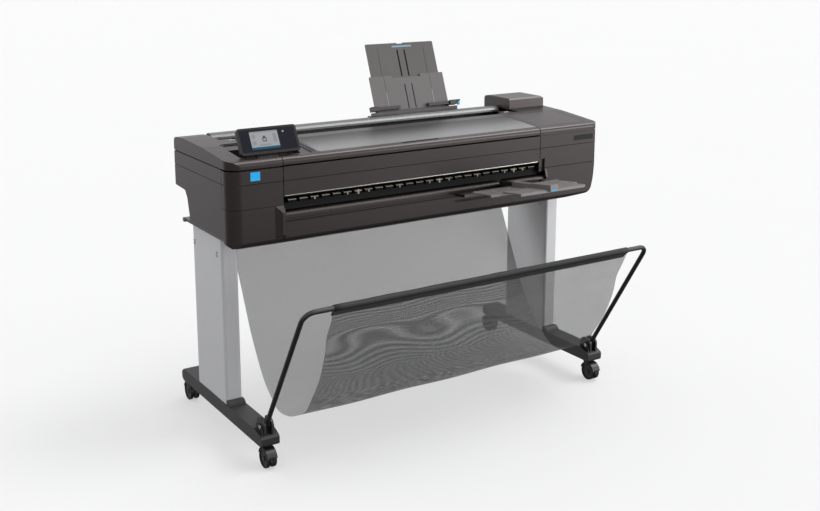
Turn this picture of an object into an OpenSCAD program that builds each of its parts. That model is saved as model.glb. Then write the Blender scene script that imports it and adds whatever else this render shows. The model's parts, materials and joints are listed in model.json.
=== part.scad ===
// Large format plotter on a rolling stand with a cloth catch bin.
// +Z up, the front of the plotter faces -Y, +X to the right as seen from the front.
// Every module is drawn with y = 0 on the front face of the body and z = 0 on the floor.
// in_frame() then moves it so that the origin is the middle of the footprint.

/* [Body] */
// Width of the body
body_w = 1403; // [1393:1:1413]
// Depth of the body
body_d = 425; // [421:1:429]
// Height of the gap under the top covers
gap_z = 892; // [890:1:893]
// Wall of the plastic shells
wall = 3; // [2.5:0.5:3.5]
// Width of the left end cap
left_cap_w = 174.5; // [172:0.5:176]
// Width of the right end cap
right_cap_w = 255.5; // [254:0.5:258]

/* [Stand] */
// Sideways place of the feet, columns and casters
foot_x = 638; // [636:1:640]
// Height of the top of the feet
foot_top = 117; // [115:1:119]
// Radius of the caster wheels
wheel_r = 30; // [28:0.5:31]

/* [Catch bin] */
// Radius of the bail tube
bail_r = 7.5; // [6.5:0.5:8.5]
// Length of the bail arms from the pivot to the middle of the cross tube
bail_len = 497; // [480:1:505]
// Forward lean of the bail
bail_lean = 31.5; // [28:0.5:34]
// Width of the cloth
cloth_w = 1094; // [1060:2:1100]

/* [Sheet feeder] */
// Backward lean of the sheet tray
tray_lean = 21; // [20:1:22]
// Sideways place of the middle of the sheet tray
tray_x = 200; // [195:1:205]

/* [Touchscreen] */
// Lean of the touchscreen up from flat
screen_lean = 62; // [55:1:66]

/* [Hidden] */
$fn = 64;

// The footprint runs from the front of the bail to the back of the rear wheels.
mid_y = 108.01;

hw = body_w / 2;
seam_l = -hw + left_cap_w;
seam_r = hw - right_cap_w;
gap = 1.2;            // half of a seam between two panels
groove = 1.8;         // depth of a seam line in a skin
line = 1;             // half its width
top_z = gap_z + 4;    // underside of the top covers
strip_z = 849.5;      // groove across the front
door_z = 777;         // seam over the lower shells
slot_z = 805;         // top of the media opening
pan_z = [668, 684];   // base pan
left_r = 40;          // vertical corner, front left
right_r = 15;         // vertical corner, front right
run = 0.05;           // radial clearance of a running fit
black = "#26221f";
umber = "#4a4341";

// ---------- shapes by their ranges ----------

function arc(cy, cz, r, a0, a1, n = 6) =
    [for (i = [0:n]) [cy + r * cos(a0 + (a1 - a0) * i / n), cz + r * sin(a0 + (a1 - a0) * i / n)]];

module in_frame() { translate([0, -mid_y, 0]) children(); }
module box(x, y, z) { translate([x[0], y[0], z[0]]) cube([x[1] - x[0], y[1] - y[0], z[1] - z[0]]); }
module rod_x(x, y, z, r) { translate([x[0], y, z]) rotate([0, 90, 0]) cylinder(r = r, h = x[1] - x[0]); }
module rod_y(x, y, z, r) { translate([x, y[1], z]) rotate([90, 0, 0]) cylinder(r = r, h = y[1] - y[0]); }
module rod_z(x, y, z, r) { translate([x, y, z[0]]) cylinder(r = r, h = z[1] - z[0]); }
module prism_x(x, pts) {
    translate([x[0], 0, 0]) rotate([90, 0, 90]) linear_extrude(x[1] - x[0]) polygon(pts);
}
module prism_y(y, pts) {
    translate([0, y[1], 0]) rotate([90, 0, 0]) linear_extrude(y[1] - y[0]) polygon(pts);
}
module sides() { for (s = [-1, 1]) scale_x(s) children(); }
module scale_x(s) { if (s > 0) children(); else mirror([1, 0, 0]) children(); }
// A flat plate in the x-y plane with round corners.
module plate(x, y, z, r) {
    box([x[0] + r, x[1] - r], y, z);
    box(x, [y[0] + r, y[1] - r], z);
    for (cx = [x[0] + r, x[1] - r], cy = [y[0] + r, y[1] - r]) rod_z(cx, cy, z, r);
}
// A thin band of thickness t hung along the points of a line.
function normal(a, b) = [a[1] - b[1], b[0] - a[0]] / norm(b - a);
function side_of(p, i, t) =
    let (n = len(p) - 1, a = p[max(i - 1, 0)], b = p[min(i + 1, n)]) p[i] + t * normal(a, b);
function band(p, t) =
    concat(p, [for (i = [len(p) - 1:-1:0]) side_of(p, i, t)]);

// ---------- body outlines ----------

// Plan of the body, t inside its faces.
module plan(t) {
    translate([-hw + left_r, t]) square([body_w - left_r - right_r, body_d - 2 * t]);
    translate([-hw + t, left_r]) square([left_r, body_d - t - left_r]);
    translate([hw - right_r - 1, right_r]) square([right_r + 1 - t, body_d - t - right_r]);
    translate([-hw + left_r, left_r]) circle(r = left_r - t);
    translate([hw - right_r, right_r]) circle(r = right_r - t);
}
// Side outline of the shells under the seam, t inside its faces.
function lower_side(t) = concat(
    [[t, gap_z + 20]], arc(16, 676, 16 - t, 180, 270),
    [[48 - t, 660 + t], [48 - t, pan_z[1] + t], [315 - t, pan_z[1] + t], [315 - t, 704]],
    [[329 - t, 757], [346 - t, 778 + t], [body_d - 2 - t, 782 + t], [body_d - t, 786],
     [body_d - t, gap_z + 20]]);
// Front outline of the shells, t inside its faces.
function elevation(t) = concat(
    [[-hw + t, 1000]], arc(-hw + 18, 678, 18 - t, 180, 270, 6), [[540, 660 + t], [600, 664 + t]],
    arc(hw - 50, 700, 32 - t, 280, 350, 5),
    [[hw - 12 - t, 723], [hw - 4 - t, 777], [hw - t, 815], [hw - t, 1000]]);
module lower_body(t) {
    intersection() {
        translate([0, 0, 600]) linear_extrude(400) plan(t);
        prism_x([-hw - 5, hw + 5], lower_side(t));
        prism_y([-5, body_d + 5], elevation(t));
    }
}
// Height line of the top covers, t under their outer face.
function top_line(t) = concat(
    [[t, top_z - 1]], arc(16, 905, 16 - t, 180, 112, 4),
    [[27, 922 - t], [89, 928 - t], [193, 937 - t], [300, 941 - t], [356, 942 - t], [400, 939 - t]],
    arc(body_d - 16, 921, 16 - t, 70, 0, 4), [[body_d - t, top_z - 1]]);
module upper_body(t) {
    intersection() {
        translate([0, 0, top_z - (t > 0 ? 1 : 0)]) linear_extrude(100) plan(t);
        prism_x([-hw - 5, hw + 5], top_line(t));
    }
}

// ---------- stand ----------

foot_y = [-88, 532];
foot_z = [74.5, foot_top];
foot_half = 30;
stem_y = [-58, 502];          // front and rear caster stems
stem_r = 5.5;
nose = [[foot_y[0], 101], [-45, foot_top]];   // sloping top at the front of a foot
column_x = [foot_x - 27, foot_x + 27];
column_y = [158, 390];
collar_z = 131;

module foot() {
    color(black) difference() {
        translate([foot_x, 0, 0]) prism_x([-foot_half, foot_half],
            [[foot_y[0], foot_z[0]], [foot_y[1] - 12, foot_z[0]], [foot_y[1], 84],
             [foot_y[1], 104], [foot_y[1] - 17, foot_top], nose[1], nose[0]]);
        difference() {
            box([foot_x - foot_half + 3, foot_x + foot_half - 3], [foot_y[0] - 1, 510],
                [foot_z[0] + 3, foot_top - 3]);
            for (y = stem_y) rod_z(foot_x, y, foot_z, 10);
        }
        for (y = stem_y) rod_z(foot_x, y, [foot_z[0] - 1, 104], stem_r + run);
    }
    // Plastic collar at the base of the column
    color("#1b1b1b") prism_x([column_x[0] - 1, column_x[1] + 1],
        [[134, foot_top], [column_y[0], foot_top], [column_y[0], collar_z], [146, collar_z - 1], [137, 124]]);
}
module left_foot() { mirror([1, 0, 0]) foot(); }
module right_foot() { foot(); }

module column() {
    r = 9;
    color("#c9cacb") difference() {
        plate(column_x, column_y, [foot_top, pan_z[0]], r);
        plate([column_x[0] + 2.2, column_x[1] - 2.2], [column_y[0] + 2.2, column_y[1] - 2.2],
            [foot_top - 1, pan_z[0] + 1], r - 2.2);
    }
}
module left_column() { mirror([1, 0, 0]) column(); }
module right_column() { column(); }

// Steel channel between the tops of the columns, open at the back.
module stand_crossbeam() {
    color(black) difference() {
        box([-column_x[0], column_x[0]], [160, 200], [614, pan_z[0]]);
        box([-column_x[0] + 3, column_x[0] - 3], [163, 201], [617, pan_z[0] - 3]);
    }
}

pivot = [-73, 130];           // bail pivot, y and z
pin_r = 4;
ear_x = [9, 16];
module screw_head(x, y, z) { rod_x([x - 1.5, x + 1.5], y, z, 3.2); }
// Screws in the column faces and the pins of the bail.
module stand_fasteners() {
    color("#8d8f90") sides() {
        for (y = [195, 374], z = [594, 604]) {
            screw_head(column_x[1] + 1.5, y, z);
            screw_head(column_x[0] - 1.5, y, z);
        }
        rod_x([foot_x - 21, foot_x + 21], pivot[0], pivot[1], pin_r);
        rod_x([foot_x + 21, foot_x + 23], pivot[0], pivot[1], 6);
        rod_x([foot_x - 23, foot_x - 21], pivot[0], pivot[1], 6);
    }
}

// Two-eared plastic brackets that cap the front of the feet.
module bail_bracket() {
    translate([foot_x, 0, 0]) difference() {
        union() {
            prism_x([-foot_half, foot_half], [[-100, 80], [-96, foot_z[0]], [foot_y[0], foot_z[0]], nose[0],
                nose[1], [-30, foot_top], [-30, 120], [-50, 120], [-84, 109], [-97, 103], [-100, 99]]);
            for (s = [-1, 1]) scale_x(s) {
                prism_x(ear_x, concat([[-92, 101], nose[0], nose[1], [-33, foot_top]],
                    arc(-58, 138, 16, 0, 90), arc(-76, 136, 16, 90, 175)));
                prism_x([ear_x[1] - 1, 20.6], [[-91, 101], nose[0], nose[1], [-60, 136], [-82, 134]]);
            }
        }
        rod_x([-foot_half, foot_half], pivot[0], pivot[1], pin_r);
    }
}
module bail_brackets() {
    color("#171717") sides() bail_bracket();
}

rod_at = [381, 655];          // rear cloth rod, y and z
module fabric_rod() {
    color(black) rod_x([-column_x[0], column_x[0]], rod_at[0], rod_at[1], 6);
}

// ---------- catch bin ----------

cloth_t = 3;
// Cloth line from the rear rod down to the split, and from the split up to the bail.
rear_line = [[372, 640], [355, 600], [330, 545], [300, 478], [263, 400], [220, 318], [172, 237], [130, 182],
    [92, 148], [58, 126], [24, 116]];
front_line = [[16, 115], [-24, 118], [-66, 130], [-108, 150], [-148, 180], [-186, 222], [-219, 275],
    [-248, 336], [-273, 402], [-296, 466], [-316, 520]];
module rear_fabric() {
    color("#9b9c9d") {
        prism_x([-cloth_w / 2, cloth_w / 2], band(rear_line, -cloth_t));
        difference() {
            union() {
                rod_x([-cloth_w / 2, cloth_w / 2], rod_at[0], rod_at[1], 9);
                prism_x([-cloth_w / 2, cloth_w / 2], [[370, 636], [374, 634], [386, 650], [374, 652]]);
            }
            rod_x([-cloth_w, cloth_w], rod_at[0], rod_at[1], 6.3);
        }
    }
}

bend_r = 36;
module in_bail() { translate([0, pivot[0], pivot[1]]) rotate([bail_lean, 0, 0]) children(); }
module bail_tube(r) {
    sides() {
        rod_z(foot_x, 0, [-5, bail_len - bend_r], r);
        translate([foot_x - bend_r, 0, bail_len - bend_r]) rotate([90, 0, 0])
            rotate_extrude(angle = 90) translate([bend_r, 0]) circle(r = r);
    }
    rod_x([-foot_x + bend_r, foot_x - bend_r], 0, bail_len, r);
}
module bail() {
    color("#1d1d1d") in_bail() difference() {
        bail_tube(bail_r);
        bail_tube(bail_r - 1.6);
        rod_x([-hw, hw], 0, 0, pin_r + run);
    }
}
module front_fabric() {
    color("#6f7072") {
        prism_x([-cloth_w / 2, cloth_w / 2], band(front_line, cloth_t));
        in_bail() difference() {
            union() {
                rod_x([-cloth_w / 2, cloth_w / 2], 0, bail_len, bail_r + 2.8);
                prism_x([-cloth_w / 2, cloth_w / 2],
                    [[-2, bail_len - 11], [-2, bail_len - 34], [2, bail_len - 34], [6, bail_len - 9]]);
            }
            rod_x([-cloth_w, cloth_w], 0, bail_len, bail_r + 0.4);
        }
    }
}

// ---------- casters ----------

trail = 21;
wheel_x = [5, 16];
axle_r = 4;
// A caster on its stem; the wheels trail to the front in row 0 and to the back in row 1.
module at_caster(side, row) {
    translate([side * foot_x, stem_y[row], 0]) children();
}
module caster(side, row) {
    dir = row == 0 ? -1 : 1;
    color("#1f1f1f") at_caster(side, row) {
        c = dir * trail;
        difference() {
            union() {
                // Hood over the wheels
                difference() {
                    rod_x([-wheel_x[1], wheel_x[1]], c, wheel_r, wheel_r + 5);
                    rod_x([-wheel_x[1] - 1, wheel_x[1] + 1], c, wheel_r, wheel_r + 2);
                    box([-20, 20], [c - 50, c + 50], [-10, wheel_r + 8]);
                }
                // Web between the wheels
                difference() {
                    rod_x([-wheel_x[0] + 0.5, wheel_x[0] - 0.5], c, wheel_r, wheel_r + 4);
                    box([-20, 20], [c - 50, c + 50], [-10, 18]);
                }
                box([-7, 7], dir > 0 ? [-9, c] : [c, 9], [wheel_r + 26, 70]);
                rod_z(0, 0, [58, 74], 11);
                box([-9, 9], dir > 0 ? [c + 30, c + 36] : [c - 36, c - 30], [wheel_r - 2, wheel_r + 13]);
                rod_x([-wheel_x[1], wheel_x[1]], c, wheel_r, axle_r);
                rod_z(0, 0, [60, 98], stem_r);
            }
            // Room for the wheels beside the stem
            for (s = [-1, 1]) scale_x(s)
                rod_x([wheel_x[0] - 0.5, wheel_x[1] + 2], c, wheel_r, wheel_r + 1.5, $fn = 96);
            // Hole in the tab
            rod_y(0, [c - 60, c + 60], wheel_r + 6, 2.6);
            rod_z(0, 0, [90, 99], 2);
        }
        rod_x([-wheel_x[1], wheel_x[1]], c, wheel_r, axle_r);
    }
}
module wheels(side, row) {
    c = (row == 0 ? -1 : 1) * trail;
    color("#2b2b2c") at_caster(side, row) translate([0, c, wheel_r]) for (s = [-1, 1]) scale_x(s)
        difference() {
            union() {
                rod_x([wheel_x[0] + 1, wheel_x[1] - 1], 0, 0, wheel_r);
                rod_x([wheel_x[0], wheel_x[1]], 0, 0, wheel_r - 1.2);
            }
            rod_x([0, 20], 0, 0, axle_r + run);
            difference() {
                rod_x([wheel_x[1] - 2.5, 20], 0, 0, wheel_r - 5);
                rod_x([0, 21], 0, 0, 8);
            }
        }
}
module front_left_caster() { caster(-1, 0); }
module front_right_caster() { caster(1, 0); }
module rear_left_caster() { caster(-1, 1); }
module rear_right_caster() { caster(1, 1); }
module front_left_wheels() { wheels(-1, 0); }
module front_right_wheels() { wheels(1, 0); }
module rear_left_wheels() { wheels(-1, 1); }
module rear_right_wheels() { wheels(1, 1); }

// ---------- chassis and shells ----------

hinge_at = [40, 667];         // roll cover hinge, y and z
plate_x = [seam_l + 8, seam_r + 22];   // inner faces of the side plates
spindle_at = [100, 722];
roller_at = [128, 786];
drive_r = 10;
pinch_r = 6;

module base_pan() {
    color(umber) difference() {
        union() {
            prism_y([52, 370], [[-hw, pan_z[1]], [-hw + 12, pan_z[0]], [hw - 12, pan_z[0]], [hw, pan_z[1]]]);
            rod_x([-hw, hw], 370, pan_z[1] - 7, 7);
            box([-hw, hw], [365, 370], [pan_z[1] - 14, pan_z[1]]);
        }
        box([-hw + 16, hw - 16], [56, 362], [pan_z[0] + 3, pan_z[1] + 1]);
    }
}

// Steel plates that carry the roll, the rollers, the cutter rail and the roll cover.
module side_plates() {
    outline = [[56.3, pan_z[0] + 3], [310, pan_z[0] + 3], [310, 770], [230, 812], [118, 812], [118, 772], [88, 772],
        [88, 826], [30, 826], [30, 757], [43, 757], [43, 735], [46, 700], [35, 673], [35, 665], [40, 662],
        [50, 664], [51.7, pan_z[1] + 0.3], [56.3, pan_z[1] + 0.3]];
    color("#9aa0a4") for (x = [[plate_x[0] - 2, plate_x[0]], [plate_x[1], plate_x[1] + 2]]) difference() {
        prism_x(x, outline);
        rod_x([x[0] - 1, x[1] + 1], spindle_at[0], spindle_at[1], 8 + run);
        rod_x([x[0] - 1, x[1] + 1], roller_at[0], roller_at[1], 5 + run);
        rod_x([x[0] - 1, x[1] + 1], roller_at[0], roller_at[1] + drive_r + pinch_r + 0.4, 2 + run);
    }
    // Hinge studs of the roll cover
    color("#9aa0a4") for (x = [[cover_x[0] + 0.2, plate_x[0] - 1], [cover_x[1] - 2.8, plate_x[1] + 1]])
        rod_x(x, hinge_at[0], hinge_at[1], 3);
}

door_y = 52;                  // side edge of the ink door
door_pin = [-hw + 2.5, 46];
module left_zone(x1) { box([-hw - 5, x1], [-5, body_d + 5], [600, gap_z]); }
// The part of the left shell that swings out as the ink door.
module door_zone(g) { box([-hw - 5, seam_l - gap + g], [-5, door_y + g], [door_z - g, gap_z + 1]); }
module left_end_cap() {
    color(umber) difference() {
        intersection() {
            difference() {
                lower_body(0);
                lower_body(wall);
            }
            left_zone(seam_l - gap);
        }
        door_zone(gap);
        rod_z(door_pin[0], door_pin[1], [door_z - 6, door_z + 2], 1 + 2 * run);
        // Seam line on the side, and the opening towards the paper path
        box([-hw - 1, -hw + groove], [door_y, body_d + 1], [strip_z - line, strip_z + line]);
    }
    // Shelf of the ink cartridges on two ribs
    color(umber) {
        box([-hw + 20, -hw + 162], [13, 84], [781, 785.6]);
        for (x = [-hw + 18, -hw + 159]) box([x, x + 3], [22, 84], [686, 782]);
    }
    // Cheek beside the roll cover
    color(umber) intersection() {
        prism_x([seam_l - 30, seam_l - gap], concat([[wall, 676], [wall, 776], [-0.5, 776]],
            [[-13, 756]], [[-13, 692]], arc(-5, 688, 8, 180, 270, 4)));
        translate([0, 0, 670]) linear_extrude(110)
            polygon([[seam_l - 30, wall], [seam_l - 30, 0], [seam_l - 15, -9], [seam_l - 11, -13],
                [seam_l - gap, -13], [seam_l - gap, wall]]);
    }
}
module ink_door() {
    color(umber) {
        difference() {
            intersection() {
                difference() {
                    lower_body(0);
                    lower_body(wall);
                }
                door_zone(0);
                box([-hw - 5, seam_l], [-5, body_d], [door_z, gap_z - 1]);
            }
            box([-hw - 1, seam_l + 1], [-1, groove], [strip_z - line, strip_z + line]);
            box([-hw - 1, -hw + groove], [-1, 60], [strip_z - line, strip_z + line]);
        }
        // Bosses and the lower pin
        for (z = [[door_z, door_z + 8], [gap_z - 12, gap_z - 4]])
            box([-hw + 2.8, -hw + 9], [40, door_y - 0.6], z);
        rod_z(door_pin[0], door_pin[1], [door_z - 4, door_z + 3], 1);
    }
}
module right_end_cap() {
    color(umber) difference() {
        intersection() {
            difference() {
                lower_body(0);
                lower_body(wall);
            }
            box([seam_r + gap, hw + 5], [-5, body_d + 5], [600, gap_z]);
        }
        // Seam lines round the front and the side
        for (z = [strip_z, door_z + 3]) {
            box([seam_r, hw + 1], [-1, groove], [z - line, z + line]);
            box([hw - 4 - groove, hw + 1], [20, body_d + 1], [z - line, z + line]);
        }
        // Room for the end of the roll cover, the media opening and the side plate
        box([seam_r - 1, cover_x[1] + 1.2], [-1, 50], [600, slot_z + 8]);
        box([plate_x[1] - 0.3, plate_x[1] + 2.3], [28, 311], [650, 700]);
    }
    // Wall at the end of the media opening
    color(umber) {
        box([seam_r + gap + 1, cover_x[1] + 3.2], [7.5, 9.5], [768, slot_z + 10]);
        box([cover_x[1] + 1.2, cover_x[1] + 3.2], [2.5, 9.5], [768, slot_z + 10]);
    }
    // Slanted stop beside the roll cover
    color(umber) prism_x([cover_x[1] + 2, cover_x[1] + 9],
        [[wall, 776], [-1, 776], [-9, 750], [-9, 744], [wall, 738]]);
}

// Touchscreen well, hinge and pocket
screen_x = [-640, -446];
screen_at = [58, 924];        // hinge, y and z
screen_ear_x = [-618, -508];
well_x = [-646, -404];
well_y = [14, 206];
pocket_y = [44, 146];
pocket_z = 905;
window_x = [-395, seam_r - gap];
window_y = 238;               // rear edge of the opening top cover
trough_x = [-612, 540];
trough_y = [242, body_d - 17];

// Rim under the top covers that sits inside the lower shells.
module top_rim() {
    translate([0, 0, gap_z - 8]) linear_extrude(14) difference() {
        plan(wall);
        plan(wall + 2);
    }
}
// Plan of the two fixed top covers.
module left_top_plan() {
    box([-hw - 5, seam_l - gap], [-5, window_y + 4], [800, 1000]);
    box([-hw - 5, window_x[0] - 2 * gap], [14, window_y + 4], [800, 1000]);
    box([-hw - 5, trough_x[0]], [-5, body_d + 5], [800, 1000]);
}
module right_top_plan() {
    box([seam_r + gap, hw + 5], [-5, window_y + 4], [800, 1000]);
    box([trough_x[1], hw + 5], [-5, body_d + 5], [800, 1000]);
}
// Everything more than t under the outer face of the top covers.
module well_side(t) {
    prism_x([-hw, 0],
        [[0, 960], [0, 920 - t], [27, 922 - t], [89, 928 - t], [193, 937 - t], [240, 939 - t], [240, 960]]);
}
module left_top_cover() {
    color(umber) {
        difference() {
            intersection() {
                difference() {
                    upper_body(0);
                    difference() {
                        upper_body(wall);
                        box([screen_x[0] - 5, screen_x[1] + 5], [pocket_y[0] - 3, pocket_y[1] + 3],
                            [pocket_z - 3, 950]);
                        box([well_x[0] - 3, well_x[1] + 3], [well_y[0] - 3, well_y[1] + 3], [913, 950]);
                    }
                }
                left_top_plan();
            }
            // Shallow well that follows the slope, with the deep pocket in it
            intersection() {
                plate(well_x, well_y, [900, 960], 22);
                well_side(2);
            }
            intersection() {
                plate([well_x[0] + 9, well_x[1] - 9], [well_y[0] + 7, well_y[1] - 9], [900, 960], 15);
                well_side(4.6);
            }
            plate([screen_x[0] - 2, screen_x[1] + 2], pocket_y, [pocket_z, 960], 8);
        }
        // Ears and pins of the touchscreen hinge
        for (x = screen_ear_x) {
            for (e = [[x - 4.4, x], [x + 32, x + 36.4]]) {
                rod_x(e, screen_at[0], screen_at[1], 4);
                box(e, [screen_at[0] - 4, screen_at[0] + 4], [pocket_z - 1, screen_at[1]]);
            }
            rod_x([x - 1, x + 33], screen_at[0], screen_at[1], 1.8);
        }
        intersection() {
            top_rim();
            left_top_plan();
            box([-hw, seam_l], [60, body_d], [800, 960]);
        }
    }
}
module right_top_cover() {
    color(umber) difference() {
        intersection() {
            difference() {
                upper_body(0);
                upper_body(wall);
            }
            right_top_plan();
        }
        // Shallow line round the raised panel
        difference() {
            plate([seam_r + 14, hw - 34], [24, 208], [900, 960], 14);
            plate([seam_r + 15.6, hw - 35.6], [25.6, 206.4], [890, 970], 12.4);
            prism_x([0, hw],
                [[0, 890], [0, 918.5], [27, 921.2], [89, 927.2], [193, 936.2], [240, 938.4], [240, 890]]);
        }
    }
    color(umber) intersection() {
        top_rim();
        right_top_plan();
    }
}

// Front skin over the media opening, with its returned edges.
module front_panel() {
    x = [seam_l + gap, seam_r - gap];
    color(umber) difference() {
        union() {
            box(x, [0, wall], [slot_z, gap_z]);
            box(x, [0, 30], [gap_z - wall, gap_z]);
            prism_x(x, [[0, slot_z], [10, slot_z + 3], [24, slot_z + 9], [24, slot_z + 12], [0, slot_z + 5]]);
        }
        box([-hw, hw], [-1, groove], [strip_z - line, strip_z + line]);
    }
}

inlet_x = [300, 330];
port_x = [-60, -22];
// Back skin between the end caps, with the cut-outs for the inlet and the ports.
module rear_cover() {
    x = [seam_l + gap, seam_r - gap];
    color(umber) difference() {
        prism_x(x, [[315, pan_z[1]], [315, 704], [329, 757], [346, 778], [body_d - 2, 782], [body_d, 786],
            [body_d, gap_z], [body_d - wall, gap_z], [body_d - wall, 787], [422 - wall, 785], [344, 781],
            [326, 758], [312, 704], [312, pan_z[1]]]);
        box(inlet_x, [400, 440], [806, 829]);
        box(port_x, [400, 440], [806, 822]);
    }
}

// Black trough between the top covers, open to the sheet path.
module feed_trough() {
    x = [trough_x[0] + gap, trough_x[1] - gap];
    color("#1a1a1b") {
        prism_x(x, [[trough_y[0] + 1, top_z + 1], [body_d - 6, top_z + 1], [body_d - 6, gap_z - 8],
            [body_d - 3, gap_z - 8], [body_d - 3, top_z + 1], [body_d, top_z + 1], [body_d, 914], [body_d - 3, 918],
            [body_d - 8, 900], [318, 900], [318, 922], [315, 922], [315, 900], [trough_y[0] + 4, 900],
            [trough_y[0] + 4, 934], [trough_y[0] + 1, 934]]);
        for (s = [[x[0], x[0] + 3], [x[1] - 3, x[1]]]) {
            box(s, [trough_y[0] + 3, 316], [899, 932]);
            box(s, [feed_pin[0] - 5, feed_pin[0] + 5], [899, feed_pin[1] + 4]);
        }
        // Pins of the rear feed cover
        rod_x([x[0] + 1, x[0] + 12], feed_pin[0], feed_pin[1], 1.8);
        rod_x([x[1] - 12, x[1] - 1], feed_pin[0], feed_pin[1], 1.8);
        // Ears and pins of the opening top cover
        for (k = knuckle_x) {
            for (e = [[k[0] - 4.4, k[0] - 0.4], [k[1] + 0.4, k[1] + 4.4]])
                box(e, [cover_pin[0] - 3.4, trough_y[0] + 2], [cover_pin[1] - 5, cover_pin[1] + 3.5]);
            rod_x([k[0] - 1, k[1] + 1], cover_pin[0], cover_pin[1], 1.8);
        }
    }
}

module rear_box() {
    x = [543, hw];
    y = [299, 455];
    color(umber) difference() {
        intersection() {
            prism_x(x, [[y[0], 930], [y[0] + 2, 972], [y[0] + 7, 977], [y[1] - 26, 977], [y[1] - 7, 974], [y[1], 966],
                [y[1], 925], [body_d, 925], [body_d, 930]]);
            prism_y(y, [[x[0], 900], [x[0], 973], [x[0] + 4, 977], [x[1] - 8, 977], [x[1], 970], [x[1], 900]]);
        }
        intersection() {
            prism_x([x[0] - 1, x[1] + 1], concat(top_line(0), [[body_d, 800], [0, 800]]));
            box([0, hw + 5], [0, body_d], [800, 1000]);
        }
        box([x[0] + wall, x[1] - wall], [y[0] + wall + 2, y[1] - wall - 4], [900, 970]);
    }
}

media_x = [plate_x[0] + 0.5, plate_x[1] - 0.5];
// Bright bar under the front skin that leads the sheet out, and the rail of the cutter behind it.
module output_bar() {
    color("#d9d9d6") {
        prism_x(plate_x, concat([[22, 797], [22, 804], [14, 804]], arc(14, 800.5, 3.5, 90, 270)));
        box(plate_x, [46.7, 53.3], [808, 822]);
    }
}
rib_x = -502.5;               // first rib of the platen
rib_pitch = 38.1;
module platen() {
    color("#141517") {
        prism_x(media_x, [[18, 757], [26, 757], [34, 774], [112, 774], [112, 784], [36, 786], [24, 776]]);
        for (i = [0:24]) box([rib_x + i * rib_pitch, rib_x + i * rib_pitch + 27], [21, 30], [776, 785.5]);
    }
}

// ---------- opening top cover ----------

cover_pin = [window_y, 931];
knuckle_x = [[window_x[0] + 30, window_x[0] + 60], [window_x[1] - 60, window_x[1] - 30]];
glass_y = [24, 190];
handle_x = [-100, 37];
module cover_skin(t0, t1, y) {
    intersection() {
        difference() {
            prism_x([seam_l + gap, seam_r - gap], top_line(t0));
            prism_x([-hw, hw], top_line(t1));
        }
        box([-hw, hw], y, [top_z + 1, 960]);
    }
}
module window_frame() {
    color(umber) difference() {
        union() {
            // Nose strip, running on in front of the touchscreen
            intersection() {
                cover_skin(0, wall, [-1, glass_y[0]]);
                union() {
                    box([seam_l + gap, window_x[1]], [-1, 13], [800, 960]);
                    box(window_x, [-1, glass_y[0]], [800, 960]);
                }
            }
            // Back of the nose strip, and the floor of the finger recess
            box(window_x, [10, 13], [top_z + 1, 914]);
            box([handle_x[0] - 2, handle_x[1] + 2], [12, glass_y[0] + 1], [911, 914]);
            for (x = [handle_x[0] - 2, handle_x[1]]) box([x, x + 2], [12, glass_y[0] + 1], [913, 919.5]);
            box(handle_x, [glass_y[0] - 1, glass_y[0] + 1], [913, 918]);
            // Rear strip and the ribs under the glass
            intersection() {
                cover_skin(0, wall, [glass_y[1], window_y - 4]);
                box(window_x, [0, 300], [800, 960]);
            }
            intersection() {
                cover_skin(wall + 1, wall + 9, [12, window_y - 4]);
                union() {
                    for (x = [window_x[0], -120, 160, window_x[1] - 8]) box([x, x + 8], [0, 300], [800, 960]);
                    box(window_x, [glass_y[1], glass_y[1] + 8], [800, 960]);
                }
            }
            cover_skin_link();
            // Hinge knuckles at the back
            for (k = knuckle_x) {
                rod_x(k, cover_pin[0], cover_pin[1], 4);
                box(k, [window_y - 9, cover_pin[0]], [928, 935]);
            }
        }
        // Finger recess behind the nose
        box(handle_x, [14, glass_y[0] - 1], [914, 930]);
        rod_x([-hw, hw], cover_pin[0], cover_pin[1], 1.8 + run);
    }
}
// Thin lands that join the ribs to the two strips.
module cover_skin_link() {
    intersection() {
        cover_skin(wall - 0.2, wall + 1.2, [12, window_y - 4]);
        union() {
            box(window_x, [12, glass_y[0] + 4], [800, 960]);
            box(window_x, [glass_y[1] - 4, window_y - 4], [800, 960]);
        }
    }
}
module window_glass() {
    color([0.62, 0.65, 0.66, 0.55]) intersection() {
        cover_skin(0.2, wall - 0.4, [glass_y[0] + 0.2, glass_y[1] - 0.2]);
        box(window_x, [0, 300], [800, 960]);
    }
}

// ---------- front roll cover ----------

cover_x = [seam_l + 0.6, seam_r + 20];
module roll_cover() {
    color(umber) difference() {
        union() {
            prism_x(cover_x, concat(
                [[40, 753]], arc(8, 744, 8, 90, 180, 4), [[0, 738], [2.4, 737], [2.4, 732], [-3, 731], [-3, 727.5], [0, 724]],
                arc(16, 676, 16, 180, 270, 5), [[34, 660], [34, 663]],
                arc(16, 676, 13, 270, 180, 5), [[3, 716], [6, 724], [6, 742], [9, 749], [40, 750]]));
            // End webs with the hinge eyes
            for (x = [[cover_x[0], cover_x[0] + 3], [cover_x[1] - 3, cover_x[1]]]) {
                prism_x(x, concat([[1.5, 716]], arc(16, 676, 14.5, 180, 270, 5), [[34, 661.5], [46, 662.5], [46, 671.5],
                    [34, 682], [16, 751], [8.5, 750.5], [4.5, 743], [4.5, 724]]));
            }
        }
        rod_x([-hw, hw], hinge_at[0], hinge_at[1], 3 + run);
        // Room for the output tray
        box(recess_x, [-5, 13], recess_z);
        box([spine_x[0] - 3, spine_x[1] + 3], [-5, 31], [recess_z[0], 760]);
    }
}

// ---------- rear feed cover ----------

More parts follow.
